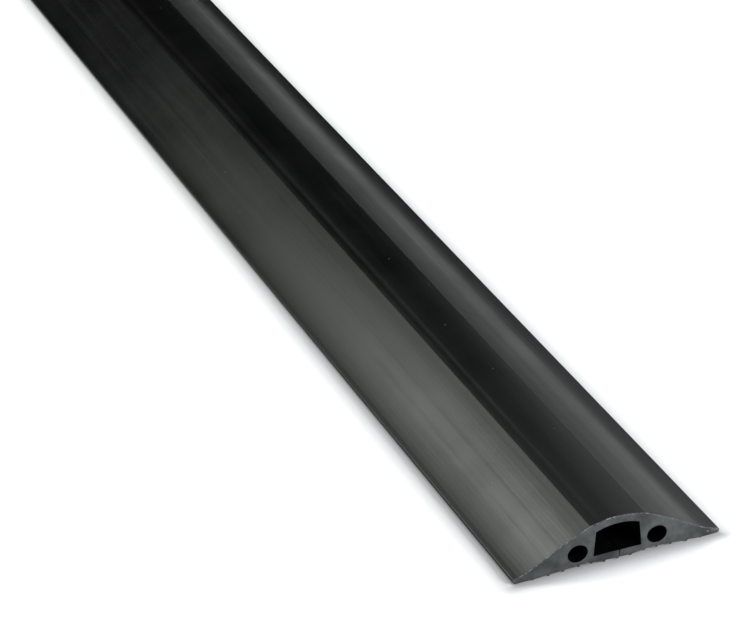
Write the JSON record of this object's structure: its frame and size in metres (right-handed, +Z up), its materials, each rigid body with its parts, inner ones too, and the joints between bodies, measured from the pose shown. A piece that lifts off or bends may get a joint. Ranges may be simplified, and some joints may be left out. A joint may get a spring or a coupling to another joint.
{
  "type": "floor cord cover",
  "caption": "Low black rubber floor strip with an arched crown, sloping flanks, a slit main cord channel and a small bore on each side of it.",
  "frame": {"origin": "on the floor, in the middle of the strip's length and width", "axes": "+Y along the strip, +X across it, +Z up from the floor"},
  "size_m": [0.069, 0.914, 0.0152],
  "materials": {
    "rubber": "satin extruded black rubber with fine lengthwise lines"
  },
  "bodies": {
    "root": {"cover_strip": "rubber"}
  },
  "joints": []
}
